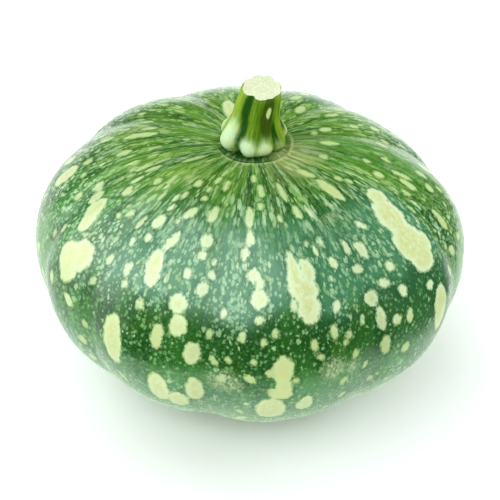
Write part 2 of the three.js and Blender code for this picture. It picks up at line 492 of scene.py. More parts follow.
def lobe_relief(fruit, azimuth, radius):
    """Height of the lobes above the plain surface: a power of a half sine across each lobe,
    rounded off where it meets its neighbour, plus the lobe's own swell. Also how close the
    point is to a furrow, from 1 in it to 0 on the crest."""
    starts = np.array(FURROW_AZIMUTHS, float)
    ends = np.append(starts[1:], starts[0] + 360)
    turned = (azimuth - starts[0]) % 360 + starts[0]
    lobe = np.searchsorted(starts, turned, side="right") - 1
    share = (turned - starts[lobe]) / (ends - starts)[lobe]
    arch = np.sin(math.pi * share)
    crest = np.hypot(arch, FURROW_ROUND) ** FURROW_POWER - MEAN_CREST
    swell = np.array(LOBE_SWELLS)[lobe] * MM * arch**2
    fade = (radius / fruit.belly_radius) ** RELIEF_FADE
    fade = fade * smoothstep(radius, SEAT_RADIUS, SEAT_RADIUS + SEAT_BLEND)
    closeness = np.exp(-((arch / 0.3) ** 2))
    return (fruit.furrow_depth * crest + swell) * fade, closeness


def lobe_tint(azimuth):
    """How yellow the rind is: each lobe's own value, changing smoothly to the next one's
    across the furrow between them."""
    starts = np.array(FURROW_AZIMUTHS, float)
    tints = np.array(LOBE_TINTS)
    total = np.zeros(np.shape(azimuth))
    for start, before, after in zip(starts, np.roll(tints, 1), tints):
        turn = away(azimuth, start)
        near = (np.abs(turn) < TINT_REACH) * 1.0
        change = smoothstep(turn, -TINT_BLEND, TINT_BLEND) - (turn > 0)
        total += near * (after - before) * change
    turned = (azimuth - starts[0]) % 360 + starts[0]
    lobe = np.searchsorted(starts, turned, side="right") - 1
    return tints[lobe] + total


def from_collar(azimuth, radius):
    """Distance outwards from the ring of skin round the stem: a circle pushed towards the
    front right by one cosine of the azimuth, which wanders a little by two more."""
    angle = np.radians(azimuth)
    wander = 1.0 * np.cos(angle - 0.9)
    wander += 0.5 * np.cos(2 * angle + 1.0) + 0.4 * np.cos(5 * angle + 2.0)
    return radius - COLLAR_RADIUS - wander * MM


def fine_relief(fruit, azimuth, arc, radius, length):
    """The small relief over the lobes: low lumps as a sum of waves, radial pleats that die
    out away from the stem, a thin raised ring of skin round the stem's foot with a crevice
    inside it, creases running into the blossom end, and a bell-shaped swelling low down on
    the right, the haunch."""
    rng = np.random.default_rng(fruit.seed)
    spread = smoothstep(radius, 20 * MM, 60 * MM)
    lumps = 0.28 * MM * waves(rng, azimuth, arc, 18, 12, 48 * MM) * spread
    lumps += 0.10 * MM * waves(rng, azimuth, arc, 22, 40, 15 * MM) * spread
    angle = np.radians(azimuth)
    pleats = np.cos(21 * angle + 0.6) + 0.8 * np.cos(34 * angle + 2.1)
    pleats += 0.6 * np.cos(55 * angle + 60 * arc + 4.0)
    pleats *= 0.26 * MM * np.exp(-(((arc - 22 * MM) / (20 * MM)) ** 2))
    pleats *= smoothstep(arc, 19.5 * MM, 26 * MM)
    uneven = 1 + 0.35 * np.cos(3 * angle + 1.0) + 0.25 * np.cos(7 * angle + 2.0)
    beyond = from_collar(azimuth, radius)
    collar = 0.4 * MM * uneven * np.exp(-((beyond / (0.7 * MM)) ** 2))
    collar *= 0.6 + 0.4 * np.cos(angle - 0.4)
    crevice = -0.9 * MM * np.exp(-(((radius - CREVICE_RADIUS) / (1.0 * MM)) ** 2))
    crevice *= 0.55 + 0.45 * np.cos(angle - 0.2)
    under = length - arc
    creases = np.cos(11 * angle + 1.3) + 0.7 * np.cos(18 * angle + 0.2)
    creases *= 0.3 * MM * np.exp(-(((under - 11 * MM) / (6 * MM)) ** 2))
    side = away(azimuth, HAUNCH_AZIMUTH) / 30
    down = (arc - HAUNCH_ARC) / (24 * MM)
    haunch = HAUNCH_SWELL * np.exp(-(side**2) - down**2)
    return lumps + pleats + collar + crevice + creases + haunch


def fruit_points(fruit, meridian, azimuth, arc, fine=True):
    """Points of the rind: the profile moved along its outward direction by the relief, leant
    over, cut off softly by the resting face, and raised again in the blossom-end dimple."""
    azimuth, arc = np.broadcast_arrays(azimuth, arc)
    radius, height, across, up = meridian.at(arc)
    relief = lobe_relief(fruit, azimuth, radius)[0]
    if fine:
        relief = relief + fine_relief(fruit, azimuth, arc, radius, meridian.length)
    radius = radius + across * relief
    height = height + up * relief
    angle = np.radians(azimuth)
    x, y = radius * np.sin(angle), -radius * np.cos(angle)
    x, z = leaning(fruit, x, height)
    rise = z + fruit.base_depth
    soft = 1.2 * MM if fine else 0
    z = (rise + np.hypot(rise, soft)) / 2 - fruit.base_depth
    inside = np.clip(1 - (radius / fruit.dimple_radius) ** 2, 0, 1)
    below = arc > meridian.length / 2
    z = z + np.where(below, fruit.dimple_depth * inside**2, 0)
    return np.stack((x, y, z), -1)


def leaning(fruit, x, z):
    """Turns points about the Y axis by the fruit's lean."""
    cosine, sine = math.cos(fruit.lean), math.sin(fruit.lean)
    return x * cosine + z * sine, z * cosine - x * sine


def fruit_shift(fruit, meridian):
    """The move from the belly's middle to the frame's origin, found by laying the plain
    fruit's box over the box of the frame's fruit."""
    azimuth = np.arange(0, 360, 1.0)[None, :]
    arc = np.linspace(0, meridian.length, 400)[:, None]
    plain = fruit_points(fruit, meridian, azimuth, arc, fine=False).reshape(-1, 3)
    low, high = (np.array(corner) for corner in FRUIT_BOX)
    middle = (low + high) / 2 - (plain.min(0) + plain.max(0)) / 2
    return np.array((middle[0], middle[1], low[2] - plain[:, 2].min()))


def fruit_arcs(length):
    """The arcs of the grid's rows, closer together round the stem's foot."""
    arcs, reached = [], 0
    for end, step in FRUIT_STEPS:
        end = min(end * MM, length)
        count = max(round((end - reached) / (step * MM)), 1)
        arcs.append(np.linspace(reached, end, count, endpoint=False))
        reached = end
    return np.concatenate(arcs)[1:]


def mark_distance(marks, azimuth, arc, radius):
    """Signed distance in mm from the nearest mark's edge, negative inside it: each mark is
    an upright ellipse on the rind, leaning if its azimuth drifts down its height. Also how
    fully cream that mark is, from its smaller breadth and a little chance, whose seed is
    the number of marks."""
    rng = np.random.default_rng(len(marks))
    nearest = np.full(np.broadcast(azimuth, arc).shape, FAR_FROM_MARKS)
    full = np.ones(nearest.shape)
    per_degree = radius / MM * math.pi / 180
    for centre, middle, width, height, lean in marks:
        down = arc / MM - middle
        side = away(azimuth, centre + lean * down / height) * per_degree
        girth = np.interp(middle * MM, arc[:, 0], radius[:, 0]) / MM * math.pi / 180
        a, b = width * girth / 2, height / 2
        outer = np.hypot(side / a, down / b) + 1e-6
        inner = np.hypot(side / a**2, down / b**2) + 1e-6
        distance = outer * (outer - 1) / inner
        own = smoothstep(min(width * girth, height), 2.0, 8.5) + rng.uniform(-0.3, 0.1)
        full = np.where(distance < nearest, own, full)
        nearest = np.minimum(nearest, distance)
    return nearest, full


def other_marks(fruit, meridian):
    """Seeded marks: draws of place and size that keep clear of each other and of the placed
    marks, evenly dense over the rind, small among the placed marks and drawn out into
    streaks round the stem."""
    rng = np.random.default_rng(fruit.seed + 1)
    taken = [(az, s, w * 0.9 + h * 0.5) for az, s, w, h, _ in FRONT_MARKS]
    marks = []
    for _ in range(MARK_TRIES):
        azimuth, middle = rng.uniform(-180, 180), rng.uniform(*MARK_ARCS)
        large, narrow, lean = rng.uniform(0, 1, 3)
        radius = meridian.at(middle * MM)[0] / MM
        if rng.uniform(0, fruit.belly_radius / MM) > radius:
            continue
        if abs(azimuth) < FRONT_AZIMUTH and middle < FRONT_ARC:
            large *= FRONT_LARGEST
        height = 4.5 + 14 * large**3.5 + 2 * narrow
        width = height * (0.42 + 0.3 * narrow) + 1.2
        if middle < STREAKED_ARC:
            height *= 1.6
            width *= 0.75
        reach = height / 2 + 2.5
        clear = True
        for other, down, size in taken:
            side = away(azimuth, other) * radius * math.pi / 180
            if math.hypot(side, (middle - down) * 0.8) < reach + size * 0.5:
                clear = False
                break
        if clear:
            taken.append((azimuth, middle, height))
            spread = math.degrees(width / radius)
            marks.append((azimuth, middle, spread, height, (lean - 0.5) * spread))
    return marks


def collar_values(azimuth, arc, radius):
    """How strongly the rind round the stem shows three things: the pale ring of skin, a bell
    across the ring that is strongest on the front right; the yellower flush, a bell round the
    front right that fades down the rind; and painted shade in the crevice inside the ring,
    strongest at the front."""
    beyond = from_collar(azimuth, radius) / MM
    skin = np.exp(-((beyond / 0.7) ** 2))
    skin *= 0.25 + 0.6 * np.cos(np.radians(azimuth - 30))
    flush = np.exp(-((away(azimuth, 60) / 36) ** 2)) * smoothstep(arc, 42 * MM, 20 * MM)
    crevice = smoothstep(CREVICE_RADIUS - radius, -1.0 * MM, 0.2 * MM)
    crevice = crevice * (0.5 + 0.45 * np.cos(np.radians(azimuth - 5))) * (1 - 0.7 * flush)
    return np.maximum(skin, 0), flush, crevice


def rind_values(fruit, meridian, azimuth, arc, radius):
    """What the rind's material reads, as three values each: at the upper pole, on the grid
    and at the lower pole. The grain is the point of a cylinder as wide as the belly, at the
    same azimuth and as far down as the arc, in mm."""
    marks = (*FRONT_MARKS, *other_marks(fruit, meridian))
    mark, full = mark_distance(marks, azimuth, arc, radius)
    scar = mark_distance(SCARS, azimuth, arc, radius)[0]
    yellowed = mark_distance(YELLOWED, azimuth, arc, radius)[0]
    skin, flush, crevice = collar_values(azimuth, arc, radius)
    angle = np.radians(azimuth)
    girth = fruit.belly_radius / MM
    down = arc / MM
    whole = meridian.length / MM
    rng = np.random.default_rng(fruit.seed + 3)
    return {
        "yellowed": (0, smoothstep(-yellowed, -1.5, 2.5), 0),
        "grain": (
            (0, 0, 0),
            np.stack((girth * np.sin(angle), -girth * np.cos(angle), down), -1),
            (0, 0, whole),
        ),
        "arc": (0, down, whole),
        "mark": (FAR_FROM_MARKS, mark, FAR_FROM_MARKS),
        "full": (1, full, 1),
        "skin": (0, skin, 0),
        "flush": (0, flush, 0),
        # painted shade in the crevice inside the ring of skin
        "crevice": (0.6, crevice, 0),
        "scar": (FAR_FROM_MARKS, scar, FAR_FROM_MARKS),
        "furrow": (0, lobe_relief(fruit, azimuth, radius)[1], 0),
        "spoke": (0, waves(rng, azimuth, arc, 10, 34, 90 * MM), 0),
        "tint": (0.5, lobe_tint(azimuth), 0.5),
    }


# ---------------------------------------------------------------------------- meshes


def closed_mesh(name, top, rings, bottom):
    """A closed surface through rings of points, with one point at each end: quads between
    the rings, triangles round the ends, all facing out when each ring runs towards growing
    azimuth from the top down. Also each corner's row and column; a ring's last column is
    counted past its first, and an end's row is -1 or the number of rings."""
    rows, columns = rings.shape[:2]
    points = np.concatenate((top[None], rings.reshape(-1, 3), bottom[None]))
    column = np.arange(columns)
    row = np.arange(rows - 1)[:, None]
    upper, across = np.broadcast_arrays(row, column[None, :])
    lower = upper + 1
    quad_rows = np.stack((upper, lower, lower, upper), -1).reshape(-1)
    quad_columns = np.stack((across, across, across + 1, across + 1), -1).reshape(-1)
    cap = np.zeros(columns, int)
    first_rows = np.stack((cap - 1, cap, cap), -1).reshape(-1)
    first_columns = np.stack((column, column, column + 1), -1).reshape(-1)
    last_rows = np.stack((cap + rows, cap + rows - 1, cap + rows - 1), -1).reshape(-1)
    last_columns = np.stack((column, column + 1, column), -1).reshape(-1)
    corner_rows = np.concatenate((quad_rows, first_rows, last_rows))
    corner_columns = np.concatenate((quad_columns, first_columns, last_columns))
    index = 1 + corner_rows * columns + corner_columns % columns
    index = np.where(corner_rows < 0, 0, index)
    index = np.where(corner_rows == rows, len(points) - 1, index)
    quads = (rows - 1) * columns
    starts = np.concatenate(
        (np.arange(quads) * 4, quads * 4 + np.arange(2 * columns) * 3)
    )
    mesh = bpy.data.meshes.new(name)
    mesh.vertices.add(len(points))
    mesh.vertices.foreach_set("co", points.astype(np.float32).ravel())
    mesh.loops.add(len(index))
    mesh.loops.foreach_set("vertex_index", index.astype(np.int32))
    mesh.polygons.add(len(starts))
    mesh.polygons.foreach_set("loop_start", starts.astype(np.int32))
    mesh.update(calc_edges=True)
    mesh.validate()
    mesh.shade_smooth()
    return mesh, corner_rows, corner_columns


def face_means(mesh, values):
    """The mean over each face of its corners' values, given again at every corner."""
    counts = np.zeros(len(mesh.polygons), np.int32)
    mesh.polygons.foreach_get("loop_total", counts)
    face = np.repeat(np.arange(len(counts)), counts)
    total = np.zeros(len(counts))
    np.add.at(total, face, values)
    return (total / counts)[face]


def set_values(mesh, name, top, rings, bottom):
    """Stores a number, or a vector, for each point of a closed_mesh."""
    wide = rings.ndim == 3
    size = rings.shape[-1] if wide else 1
    values = np.concatenate(
        (
            np.reshape(top, (1, size)),
            rings.reshape(-1, size),
            np.reshape(bottom, (1, size)),
        )
    )
    kind = "FLOAT_VECTOR" if wide else "FLOAT"
    attribute = mesh.attributes.new(name, kind, "POINT")
    attribute.data.foreach_set(
        "vector" if wide else "value", values.astype(np.float32).ravel()
    )


def set_uv(mesh, u, v):
    """Stores the unwrapped place of each corner."""
    layer = mesh.uv_layers.new(name="OFBake")
    layer.data.foreach_set("uv", np.stack((u, v), -1).astype(np.float32).ravel())


def place(name, mesh, material, node):
    """Makes the finished piece: an object at the origin that stands for a CAD node."""
    piece = bpy.data.objects.new(name, mesh)
    bpy.context.scene.collection.objects.link(piece)
    mesh.materials.append(material)
    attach(piece, "root")
    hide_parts(node)
    return piece


# ---------------------------------------------------------------------------- materials


class Graph:
    """A material's nodes, wired by calls that take and give sockets, numbers or vectors."""

    def __init__(self, name):
        self.material = bpy.data.materials.new(name)
        self.material.use_nodes = True
        self.tree = self.material.node_tree
        self.shader = self.tree.nodes["Principled BSDF"]

    def add(self, kind, values=(), **settings):
        """A node with its settings, and its inputs linked or set in order or by name."""
        node = self.tree.nodes.new("ShaderNode" + kind)
        for key, value in settings.items():
            setattr(node, key, value)
        pairs = values.items() if isinstance(values, dict) else enumerate(values)
        for key, value in pairs:
            self.feed(node.inputs[key], value)
        return node

    def feed(self, socket, value):
        """Links a socket, or sets the number or colour on the input itself."""
        if isinstance(value, bpy.types.NodeSocket):
            self.tree.links.new(value, socket)
        elif value is not None:
            if socket.type == "RGBA" and len(value) == 3:
                value = (*value, 1.0)
            socket.default_value = value

    def attribute(self, name, output="Fac"):
        """A value that set_values stored in the mesh."""
        return self.add("Attribute", attribute_name=name).outputs[output]

    def math(self, operation, *values):
        """A number worked out from others by one of the Math node's operations."""
        return self.add("Math", values, operation=operation).outputs[0]

    def times(self, first, second):
        return self.math("MULTIPLY", first, second)

    def times_plus(self, first, second, third):
        """The first times the second, plus the third."""
        return self.math("MULTIPLY_ADD", first, second, third)

    def minus(self, first, second):
        return self.math("SUBTRACT", first, second)

    def plus(self, first, second):
        return self.math("ADD", first, second)

    def larger(self, first, second):
        return self.math("MAXIMUM", first, second)

    def remap(self, value, low, high, to_low=0.0, to_high=1.0):
        """A smooth step of the value from one range to another."""
        node = self.add(
            "MapRange",
            {0: value, 1: low, 2: high, 3: to_low, 4: to_high},
            interpolation_type="SMOOTHSTEP",
        )
        return node.outputs[0]

    def scaled(self, vector, factors):
        """The vector with each of its parts multiplied by its own factor."""
        node = self.add("VectorMath", (vector, factors), operation="MULTIPLY")
        return node.outputs[0]

    def noise(self, vector, scale, detail=2.0, rough=0.5, colour=False):
        """Soft noise round 0.5, or a colour with noise in each of its parts."""
        node = self.add(
            "TexNoise",
            {"Vector": vector, "Scale": scale, "Detail": detail, "Roughness": rough},
        )
        return node.outputs["Color" if colour else "Fac"]

    def warped(self, vector, scale, amount):
        """The vector pushed about by noise, by up to half the amount each way."""
        push = self.noise(vector, scale, colour=True)
        push = self.add("VectorMath", (push, (0.5, 0.5, 0.5)), operation="SUBTRACT")
        push = self.scaled(push.outputs[0], (amount,) * 3)
        return self.add("VectorMath", (vector, push), operation="ADD").outputs[0]

    def cells(self, vector, spacing):
        """Distance to the nearest of many scattered points as a share of their spacing, and
        two random numbers that belong to that point."""
        node = self.add("TexVoronoi", {"Vector": vector, "Scale": 1 / spacing})
        split = self.add("SeparateColor", (node.outputs["Color"],))
        return node.outputs["Distance"], split.outputs[0], split.outputs[1]

    def mix(self, share, first, second):
        """A colour that goes from the first to the second as the share grows."""
        node = self.add("Mix", {0: share, 6: first, 7: second}, data_type="RGBA")
        return node.outputs[2]

    def across(self, share, first, second):
        """A number that goes from the first to the second as the share grows."""
        return self.add("Mix", {0: share, 2: first, 3: second}).outputs[0]

    def bump(self, height, distance, strength):
        """The surface direction tilted by a height, whose full step is the distance."""
        inputs = {"Height": height, "Distance": distance, "Strength": strength}
        return self.add("Bump", inputs).outputs[0]

    def finish(self, colour, roughness, normal, **fixed):
        """Feeds the shader; the fixed values are set on its own inputs."""
        self.feed(self.shader.inputs["Base Color"], colour)
        self.feed(self.shader.inputs["Roughness"], roughness)
        self.feed(self.shader.inputs["Normal"], normal)
        for name, value in fixed.items():
            self.shader.inputs[name].default_value = value
        return self.material


def flecks(g, grain, plenty):
    """Two sizes of flecks round scattered points, their reach growing with plenty: how much
    of each shows, and a random tone."""
    gap, luck, tone = g.cells(g.warped(grain, 0.8, 1.4), 1.9)
    reach = g.times_plus(luck, 0.38, g.remap(plenty, 0.38, 0.62, 0.08, 0.30))
    fine = g.remap(g.minus(reach, gap), -0.14, 0.16)
    fine = g.times(fine, g.times_plus(tone, 0.55, 0.35))
    gap, luck, tone = g.cells(g.warped(grain, 0.45, 2.8), 3.7)
    reach = g.times_plus(luck, 0.42, g.remap(plenty, 0.38, 0.60, -0.12, 0.04))
    spots = g.remap(g.minus(reach, gap), -0.03, 0.07)
    spots = g.times(spots, g.times_plus(tone, 0.4, 0.6))
    return fine, spots, tone


def rind_material(fruit):
    """The rind: two greens in soft patches, bluer on the shoulder, partly a waxy bloom and partly a
    painted sheen, darker in a belt on the belly, yellower round the stem and paler underneath,
    partly its own colour and partly painted bounce from the floor, with a painted pale rim low on
    the ±X sides; two sizes of flecks in rows down the lobes; cream marks with ragged, greener
    edges, whiter under the painted sheen and bounce; a ring of skin round the stem with painted
    shade in the crevice inside it; painted shade in the furrows; corky scars."""
    g = Graph("flecked_rind")
    grain = g.attribute("grain", "Vector")
    arc = g.attribute("arc")
    furrow = g.attribute("furrow")
    tint = g.attribute("tint")
    near = g.remap(arc, 80.0, 36.0)
    patches = g.noise(g.scaled(grain, (1, 1, 0.6)), 0.045, 3.0)
    streaks = g.across(
        near,
        g.noise(g.scaled(grain, (1, 1, 0.10)), 0.34, 3.0),
        g.noise(g.scaled(grain, (0.36, 0.36, 0.12)), 0.34, 3.0),
    )
    mottle = g.noise(grain, 0.42, 3.0, 0.6)
    drift = g.minus(patches, 0.5)
    rows = g.across(
        near,
        g.noise(g.scaled(grain, (1, 1, 0.06)), 0.26, 2.0),
        g.noise(g.scaled(grain, (0.42, 0.42, 0.08)), 0.26, 2.0),
    )
    upper = g.remap(arc, 125.0, 60.0)
    rayed = g.times(g.minus(rows, 0.5), g.across(upper, 0.55, 1.25))

    # Ground colour.
    depth = g.times_plus(g.minus(streaks, 0.5), 0.5, patches)
    depth = g.times_plus(near, 0.06, depth)
    depth = g.times_plus(rayed, 0.6, depth)
    green = g.mix(g.remap(depth, 0.40, 0.66), fruit.dark_green, fruit.leaf_green)
    shifted = g.times_plus(drift, 26.0, arc)
    across = g.add("SeparateXYZ", (grain,)).outputs[0]
    east = g.remap(across, 25.0, 75.0)
    # Low on the left and right (±X) sides: more flecks, and paler mottling that is a painted
    # reflection along those edges.
    flank = g.times(g.remap(g.math("ABSOLUTE", across), 94.0, 101.0), g.remap(shifted, 106.0, 120.0))
    # The bluish shoulder: partly a waxy bloom and partly a painted sheen of the lights, stopping
    # higher on the +X side and fading on the yellow lobes.
    bloom_and_sheen = g.times(
        g.remap(shifted, 48.0, 72.0),
        g.remap(g.times_plus(east, -16.0, shifted), 116.0, 98.0),
    )
    bloom_and_sheen = g.times(bloom_and_sheen, g.remap(tint, 0.3, 0.85, 0.9, 0.05))
    green = g.mix(bloom_and_sheen, green, fruit.bloom_and_sheen_green)
    reach = g.times_plus(tint, 50.0, g.times_plus(drift, 30.0, 32.0))
    reach = g.times_plus(g.remap(tint, 0.9, 1.1), 40.0, reach)
    olive = g.remap(g.minus(reach, arc), -22.0, 18.0)
    olive = g.times(olive, g.remap(streaks, 0.36, 0.58, 0.15, 1.0))
    olive = g.times(olive, g.remap(tint, 0.9, 1.1, 1.0, 0.65))
    green = g.mix(g.times(olive, 0.85), green, fruit.olive)
    green = g.mix(g.remap(mottle, 0.45, 0.75, 0.0, 0.4), green, fruit.leaf_green)
    hairs = g.noise(g.scaled(grain, (0.8, 0.8, 0.05)), 0.6, 2.0, 0.6)
    crown = g.remap(arc, 95.0, 40.0)
    paler = g.times(crown, g.remap(hairs, 0.48, 0.70, 0.0, 0.28))
    green = g.mix(paler, green, fruit.fleck_warm)
    darker = g.times(crown, g.remap(hairs, 0.48, 0.32, 0.0, 0.75))
    green = g.mix(darker, green, fruit.dark_green)
    grit = g.noise(g.scaled(grain, (1, 1, 0.7)), 0.85, 2.0, 0.6)
    grit = g.times(g.remap(grit, 0.46, 0.68), g.times_plus(bloom_and_sheen, -0.4, 0.6))
    green = g.mix(grit, green, fruit.fleck_green)
    spoke = g.times(g.attribute("spoke"), near)
    green = g.mix(g.remap(spoke, 0.1, 1.2, 0.0, 0.85), green, fruit.dark_green)
    deep = g.times(
        g.remap(shifted, 101.0, 111.0),
        g.remap(shifted, 146.0, 128.0),
    )
    band = g.remap(tint, 0.7, 0.15, 0.35, 1.0)
    deep = g.times(deep, band)
    green = g.mix(g.times(deep, 0.7), green, fruit.dark_green)
    # Paler rind below the belly, starting higher on the +X side and on the yellow lobes: partly its
    # own colour, partly painted light bounced from the floor.
    lower = g.larger(g.remap(tint, 0.3, 0.9), east)
    lower = g.times_plus(lower, 12.0, shifted)
    keel_and_floor_bounce = g.times(g.remap(lower, 130.0, 160.0), g.remap(mottle, 0.3, 0.6, 0.45, 0.9))
    green = g.mix(keel_and_floor_bounce, green, fruit.keel_and_floor_bounce_green)
    # Painted reflection: paler mottling low on the ±X sides.
    green = g.mix(g.times(flank, g.remap(mottle, 0.35, 0.6, 0.05, 0.3)), green, fruit.fleck)
    # Paler still underneath, towards the flecks' colours: partly its own colour, partly painted
    # bounce from the floor.
    under = g.remap(shifted, 150.0, 205.0, 0.0, 0.85)
    below = g.mix(g.remap(shifted, 180.0, 235.0, 0.0, 0.6), fruit.fleck, fruit.fleck_warm)
    green = g.mix(g.times(under, g.remap(mottle, 0.3, 0.6, 0.6, 1.0)), green, below)

    # Marks, with an edge moved about by two sizes of noise.
    wide = g.noise(g.scaled(grain, (1, 1, 0.7)), 0.30, 2.0)
    close = g.noise(g.scaled(grain, (1, 1, 0.8)), 0.80, 2.0)
    wild = g.across(near, 3.4, 1.8)
    ragged = g.times_plus(g.minus(wide, 0.5), wild, g.attribute("mark"))
    wild = g.across(near, 2.2, 1.5)
    ragged = g.times_plus(g.minus(close, 0.5), wild, ragged)
    mark = g.remap(ragged, 0.8, -0.9)
    core = g.remap(ragged, 0.0, -1.4)
    patchy = g.noise(g.scaled(grain, (1, 1, 0.8)), 0.55, 3.0, 0.65)
    inside = g.times_plus(g.minus(patchy, 0.5), 7.0, ragged)
    inside = g.remap(inside, -0.6, -4.4)
    ring = g.times(g.remap(ragged, 0.0, 0.9), g.remap(ragged, 2.6, 1.0))
    halo = g.remap(ragged, 0.2, 1.4)

    # Flecks in rows down the rind: fine ones nearly everywhere, and larger ones among them,
    # drawn out into dashes round the stem and the blossom end.
    crowd = g.noise(grain, 0.06, 2.0)
    plenty = g.times_plus(crowd, 0.35, g.plus(rayed, 0.34))
    plenty = g.times_plus(tint, 0.02, plenty)
    fewer = g.times(g.remap(shifted, 98.0, 118.0), band)
    plenty = g.times_plus(fewer, -0.12, plenty)
    plenty = g.times_plus(spoke, -0.05, plenty)
    speckled = g.times(g.remap(tint, 0.9, 1.1), g.remap(arc, 100.0, 112.0))
    plenty = g.times_plus(g.larger(speckled, flank), 0.12, plenty)
    belly = g.larger(g.minus(arc, 100.0), 0.0)
    belly = g.add("CombineXYZ", {2: g.times(belly, 0.2)}).outputs[0]
    belly = g.add("VectorMath", (g.scaled(grain, (1, 1, 0.68)), belly)).outputs[0]
    drawn = g.plus(g.remap(arc, 84.0, 58.0), g.remap(arc, 205.0, 235.0))
    fine, spots, tone = (
        g.across(drawn, *pair)
        for pair in zip(
            flecks(g, belly, plenty),
            flecks(g, g.scaled(grain, (0.60, 0.60, 0.32)), plenty),
        )
    )
    fine = g.times(fine, g.times_plus(bloom_and_sheen, -0.30, 1.0))
    spots = g.times(spots, g.times_plus(bloom_and_sheen, -0.35, 1.0))
    rare = g.times(g.remap(tint, 0.9, 1.1, 0.0, 0.65), g.remap(arc, 106.0, 94.0))
    rare = g.times(halo, g.minus(1.0, rare))
    fine = g.times(fine, g.times(rare, g.remap(arc, 40.0, 75.0, 0.6, 1.0)))
    spots = g.times(spots, g.times(rare, g.remap(arc, 36.0, 66.0, 0.5, 1.0)))

    warm = g.remap(g.noise(grain, 0.07, 2.0), 0.52, 0.70, 0.0, 0.6)
    warm = g.larger(olive, warm)
    green = g.mix(g.times(warm, 0.2), green, fruit.olive)
    fleck = g.mix(warm, fruit.fleck, fruit.fleck_warm)
    pale = g.mix(tone, fleck, fruit.mark)
    belt = g.times(g.remap(shifted, 98.0, 118.0), g.remap(shifted, 158.0, 138.0, 0.3, 0.85))
    fleck = g.mix(belt, fleck, fruit.fleck_green)
    pale = g.mix(g.times(belt, 0.65), pale, fruit.fleck_green)
    ring = g.times(ring, g.remap(shifted, 145.0, 185.0, 0.3, 0.05))
    green = g.mix(ring, green, fruit.dark_green)
    colour = g.mix(fine, green, fleck)
    colour = g.mix(g.times(spots, 0.9), colour, pale)
    full = g.remap(g.attribute("full"), 0.0, 1.0)
    full = g.larger(full, bloom_and_sheen)
    core = g.times(core, g.times_plus(full, 0.75, 0.25))
    cream = g.mix(core, fruit.mark_edge, fruit.mark)
    greener = g.times_plus(g.attribute("yellowed"), 0.35, g.times(belt, 0.3))
    cream = g.mix(greener, cream, fruit.mark_edge)
    # Painted light whitens the marks: the sheen on the bluish shoulder and the bounce from the floor
    # underneath.
    bloom_and_sheen_on_marks = g.times(bloom_and_sheen, g.remap(inside, 0.6, 0.0))
    cream = g.mix(g.times(bloom_and_sheen_on_marks, 0.5), cream, fruit.mark_cool_and_lit)
    cream = g.mix(g.times(under, 0.7), cream, fruit.mark_cool_and_lit)
    tan = g.times_plus(inside, 0.07, patchy)
    tan = g.times_plus(g.attribute("yellowed"), 0.13, tan)
    tan = g.remap(tan, 0.41, 0.64, 0.0, 0.95)
    tan = g.times(tan, g.times_plus(inside, 0.6, 0.4))
    cream = g.mix(tan, cream, fruit.mark_tan)
    strong = g.times_plus(full, 0.1, 0.9)
    colour = g.mix(g.times(mark, strong), colour, cream)

    # A thin ring of paler skin round the stem's foot, with painted shade in the crevice inside it.
    broken = g.noise(g.scaled(grain, (0.2, 0.2, 0.6)), 0.4, 3.0, 0.6)
    skin = g.times(g.attribute("skin"), g.remap(broken, 0.36, 0.58, 0.1, 1.2))
    colour = g.mix(skin, colour, fruit.mark_tan)
    flush = g.times(g.attribute("flush"), g.remap(streaks, 0.36, 0.60, 0.25, 0.75))
    colour = g.mix(flush, colour, fruit.mark_tan)
    # Painted shade in the crevice, broken up by noise.
    inner = g.times(g.attribute("crevice"), g.remap(broken, 0.64, 0.38, 0.5, 1.3))
    colour = g.mix(inner, colour, fruit.dark_green)

    # Corky scars, and painted shade in the furrows.
    scarred = g.times_plus(g.minus(close, 0.5), 7.0, g.attribute("scar"))
    scarred = g.times_plus(g.minus(patchy, 0.5), 9.0, scarred)
    scarred = g.remap(scarred, 2.2, -3.0)
    chafed = g.noise(g.scaled(grain, (1, 1, 0.6)), 0.9, 3.0, 0.7)
    scarred = g.times(scarred, g.remap(chafed, 0.42, 0.62, 0.15, 0.95))
    colour = g.mix(scarred, colour, fruit.scar)
    colour = g.mix(g.times(furrow, 0.12), colour, fruit.dark_green)

    rough = g.remap(mottle, 0.3, 0.7, 0.22, 0.32)
    rough = g.times_plus(mark, 0.08, rough)
    rough = g.times_plus(scarred, 0.25, rough)
    pores = g.noise(grain, 1.6, 2.0)
    height = g.times_plus(mark, 0.5, g.times(mottle, 0.8))
    height = g.times_plus(spots, 0.25, height)
    height = g.times_plus(pores, 0.35, height)
    height = g.times_plus(scarred, 0.5, height)
    normal = g.bump(height, 0.12 * MM, 0.8)
    return g.finish(
        colour,
        rough,
        normal,
        **{
            "IOR": 1.46,
            "Sheen Weight": 0.36,
            "Sheen Roughness": 0.22,
            "Sheen Tint": (0.8, 1.0, 0.72, 1.0),
        },
    )


